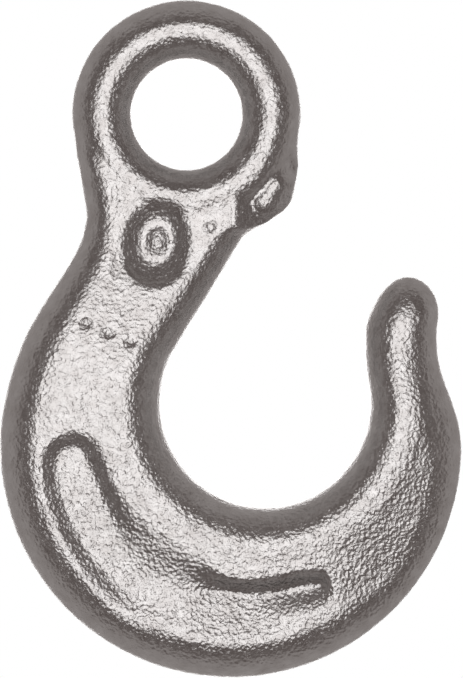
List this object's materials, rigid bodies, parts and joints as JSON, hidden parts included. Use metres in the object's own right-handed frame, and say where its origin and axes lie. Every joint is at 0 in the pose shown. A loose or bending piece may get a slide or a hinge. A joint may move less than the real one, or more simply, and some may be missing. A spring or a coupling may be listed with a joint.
{
  "type": "eye hook",
  "caption": "Drop-forged steel lifting hook in one piece: a round eye at the top, a flat shank and a deep open bowl that ends in a slim rounded tip.",
  "frame": {"origin": "centre of the eye's bore, half way through the thickness", "axes": "+Z from the bowl up to the eye, +Y along the eye's bore through the thickness, +X from the shank towards the tip; the front view looks along +Y"},
  "size_m": [0.0873, 0.0164, 0.1281],
  "materials": {
    "forged_steel": "bare forged steel, fine scale-blasted grain"
  },
  "bodies": {
    "root": {"hook_forging": "forged_steel"}
  },
  "joints": []
}
